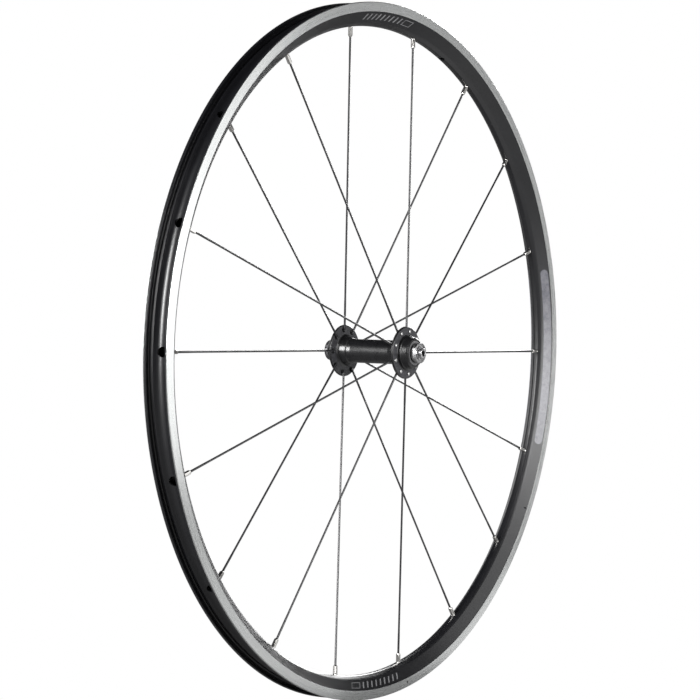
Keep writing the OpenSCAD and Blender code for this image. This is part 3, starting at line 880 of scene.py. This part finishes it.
def flatsCutter(name, across, y0, y1, side):
    # two blocks that leave the wrench flats facing forwards and backwards
    verts, faces = [], []
    for x0, x1 in ((across / 2, across), (-across, -across / 2)):
        base = len(verts)
        low, high = sorted((side * y0, side * y1))
        verts += [(x * mm, y * mm, z * mm)
                  for x in (x0, x1) for y in (low, high) for z in (-across, across)]
        faces += [tuple(base + i for i in f) for f in ((0, 1, 3, 2), (4, 6, 7, 5), (0, 4, 5, 1),
                                                       (2, 3, 7, 6), (0, 2, 6, 4), (1, 5, 7, 3))]
    mesh = bpy.data.meshes.new(name)
    mesh.from_pydata(verts, [], faces)
    return linked(name, mesh)


def toothCutter(name, side):
    # one V groove across the biting ring
    lock = locknut
    top, deep = lock["faceY"] + 0.3, lock["faceY"] - lock["toothDepth"]
    wide = lock["toothHalfWidth"]
    verts = [(x * mm, side * y * mm, z * mm) for x in (lock["boreR"] - 0.5, lock["grooveInnerR"] + 0.5)
             for y, z in ((top, -wide), (top, wide), (deep, 0))]
    faces = [(0, 1, 2), (5, 4, 3), (0, 3, 4, 1), (1, 4, 5, 2), (2, 5, 3, 0)]
    mesh = bpy.data.meshes.new(name)
    mesh.from_pydata(verts, [], [f if side < 0 else f[::-1] for f in faces])
    return linked(name, mesh)


for side, tag in hands:
    cover = revolve(tag + "DustCover", [atEnd(dustOutline(), side)], dustCover["turns"])
    dress(settle(cover), "dustCover")
    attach(cover, "wheel")
    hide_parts(tag + "_dust_seal")

    lock = locknut
    face, groove = lock["faceY"], lock["faceY"] - lock["grooveDepth"]
    outline = roundCorners([
        (lock["boreR"], lock["innerY"], 0.2), (lock["outerR"], lock["innerY"], 0.35),
        (lock["outerR"], face, 0.25), (lock["grooveOuterR"], face, 0.15),
        (lock["grooveOuterR"], groove, 0.25), (lock["grooveInnerR"], groove, 0.25),
        (lock["grooveInnerR"], face, 0.08), (lock["boreR"], face, 0.12)])
    nut = revolve(tag + "Locknut", [atEnd(outline, side)], lock["turns"])
    teeth = copiesRound(toothCutter(tag + "Teeth", side), 0, 360 / lock["teeth"], lock["teeth"])
    flats = flatsCutter(tag + "NutFlats", lock["flats"], lock["innerY"] - 1, face - lock["lip"], side)
    cutAway(nut, [flats, teeth])
    lockSteelOrPaintedShade = "lockSteel" if side < 0 else "lockSteelPaintedShade"      # the right side's copies are painted darker, as painted shade on the far side
    dress(nut, lockSteelOrPaintedShade)
    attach(nut, "axle_set")
    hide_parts(tag + "_locknut")

    c = cone
    outline = roundCorners([
        (c["boreR"], c["innerY"], 0.1), (c["landR"], c["innerY"], 0.15),
        (c["landR"], c["shoulderY"], 0.2), (c["outerR"], c["shoulderY"], 0.2),
        (c["outerR"], lock["innerY"], 0.25), (c["boreR"], lock["innerY"], 0.15)])
    ring = revolve(tag + "Cone", [atEnd(outline, side)], c["turns"])
    flats = flatsCutter(tag + "ConeFlats", c["flats"], c["flatsFromY"], lock["innerY"] + 1, side)
    cutAway(ring, [flats])
    dress(ring, lockSteelOrPaintedShade)
    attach(ring, "axle_set")
    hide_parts(tag + "_cone")


axle = {
    "endY": axleEndY, "boreR": 2.6, "endR": 4.5, "threadR": 4.9, "seatR": 4.99, "midR": 6.5,
    "threadEndY": lockFaceY - 0.2, "seatEndY": 43.5, "shoulderY": 37.5,
    "reliefR": 4.3, "reliefEndY": lockFaceY + 0.1,
    "endChamfer": 0.4, "turns": 120,
}
a = axle
axleOutline = roundCorners(mirroredHalf([
    (a["midR"], a["shoulderY"], 0.3), (a["seatR"], a["shoulderY"], 0.1),
    (a["seatR"], a["seatEndY"], 0.05), (a["threadR"], a["seatEndY"], 0.03),
    (a["threadR"], a["threadEndY"], 0.1), (a["reliefR"], a["threadEndY"], 0.03),
    (a["reliefR"], a["reliefEndY"], 0.03), (a["endR"], a["reliefEndY"], 0.03),
    (a["endR"], a["endY"] - 0.45, 0.2), (a["endR"] - a["endChamfer"], a["endY"], 0.15),
    (a["boreR"] + 0.35, a["endY"], 0.1), (a["boreR"], a["endY"] - a["endChamfer"], 0.15)]))
axlePiece = revolve("hollowAxle", [axleOutline], a["turns"])
dress(settle(axlePiece), "axleAlloy")
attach(axlePiece, "axle_set")
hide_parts("axle")
print("axle, cones and locknuts turned")


# finishes for the frame's own parts inside the hub

kept = {"outer_race": "bearingSteel", "inner_race": "bearingSteel", "balls": "bearingSteel",
        "ball_cage": "cageNylon", "inboard_seal": "sealRubber", "outboard_seal": "sealRubber"}
for ending, name in kept.items():
    for tag in ("left_", "right_"):
        dress(nodes[tag + ending], name)
print("bearings dressed")


# floor, light and camera

studio = {
    "floorRadius": 6.0, "floorCorners": 96, "floorGap": 0.0002, "floorTone": 0.22, "floorGloss": 0.9,
    "skyTone": (0.022, 0.022, 0.024), "sideTone": (0.038, 0.038, 0.040), "skyFrom": 0.55,
    # place, aim, width, height, watts
    "panels": (
        ("leftPanel", (-3.6, 0.75, 1.15), (-0.3, 0, 0.05), 1.3, 2.0, 320),
        ("trackPanel", (0.62, -1.25, 0.25), (-0.05, 0, 0.15), 0.95, 1.12, 7.6),
        ("trackStrip", (2.62, -1.74, 0.3), (0, 0, 0), 0.56, 1.2, 1.65),
        ("lowCard", (0.3, -0.35, -0.309), (0.3, -0.35, 1), 0.7, 0.62, 0.8),
        ("frontPanel", (-0.7, -3.2, 0.75), (0.2, 0, 0), 1.3, 1.9, 95),
        ("rearPanel", (1.4, 3.2, 0.6), (0, 0, 0), 2.2, 1.4, 14),
        ("farPanel", (3.3, 1.1, 0.9), (0, 0, 0), 1.4, 1.6, 90)),
}

floorMesh = bpy.data.meshes.new("paleFloor")
floorZ = cadLow.z - studio["floorGap"]
corners = studio["floorCorners"]
floorAngles = [2 * math.pi * i / corners for i in range(corners)]
floorMesh.from_pydata([(studio["floorRadius"] * math.cos(t), studio["floorRadius"] * math.sin(t),
                        floorZ) for t in floorAngles], [], [tuple(range(corners))])
floor = linked("paleFloor", floorMesh)
floorFinish = bpy.data.materials.new("paleFloor")
floorFinish.use_nodes = True
floorTree = floorFinish.node_tree
floorShader = floorTree.nodes["Principled BSDF"]
floorShader.inputs["Base Color"].default_value = (studio["floorTone"],) * 3 + (1,)
floorShader.inputs["Roughness"].default_value = studio["floorGloss"]
# the floor glows white where it is looked at, and stays dim in what the wheel reflects
glow = addNode(floorTree, "ShaderNodeEmission", {"Color": (1, 1, 1, 1), "Strength": 1.0})
chosen = addNode(floorTree, "ShaderNodeMixShader", {
    0: addNode(floorTree, "ShaderNodeLightPath").outputs["Is Camera Ray"],
    1: floorShader.outputs[0], 2: glow.outputs[0]})
floorTree.links.new(chosen.outputs[0], floorTree.nodes["Material Output"].inputs[0])
floorMesh.materials.append(floorFinish)

world = bpy.data.worlds.new("studio")
world.use_nodes = True
bpy.context.scene.world = world
sky = world.node_tree
background = sky.nodes["Background"]
direction = addNode(sky, "ShaderNodeSeparateXYZ", {0: coordinates(sky, "Generated")})
heightShare = remap(sky, direction.outputs["Z"], 0.0, 1.0, 0.0, studio["skyFrom"])
roomTone = mixTone(sky, heightShare, studio["sideTone"], studio["skyTone"])
seen = addNode(sky, "ShaderNodeLightPath").outputs["Is Camera Ray"]
sky.links.new(mixTone(sky, seen, roomTone, (1, 1, 1)), background.inputs["Color"])

for name, place, aim, width, height, watts in studio["panels"]:
    lamp = bpy.data.lights.new(name, "AREA")
    lamp.shape = "RECTANGLE"
    lamp.size, lamp.size_y, lamp.energy = width, height, watts
    holder = linked(name, lamp)
    holder.location = place
    holder.rotation_mode = "QUATERNION"
    holder.rotation_quaternion = (Vector(aim) - Vector(place)).to_track_quat("-Z", "Y")
    holder.visible_camera = False

view = {
    # metres, degrees and millimetres
    "place": (-1.7318, -1.1615, 0.1095), "azimuth": -55.526, "elevation": 2.967,
    "lens": 117.15, "sensor": 36,
}
turnAz, turnEl = math.radians(view["azimuth"]), math.radians(view["elevation"])
back = Vector((math.sin(turnAz) * math.cos(turnEl), -math.cos(turnAz) * math.cos(turnEl),
               math.sin(turnEl)))
camera = linked("camera", bpy.data.cameras.new("camera"))
camera.location = view["place"]
camera.rotation_mode = "QUATERNION"
camera.rotation_quaternion = (-back).to_track_quat("-Z", "Y")
camera.data.lens = view["lens"]
camera.data.sensor_width = view["sensor"]
bpy.context.scene.camera = camera
bpy.context.scene.view_settings.view_transform = "Standard"
print("studio set")
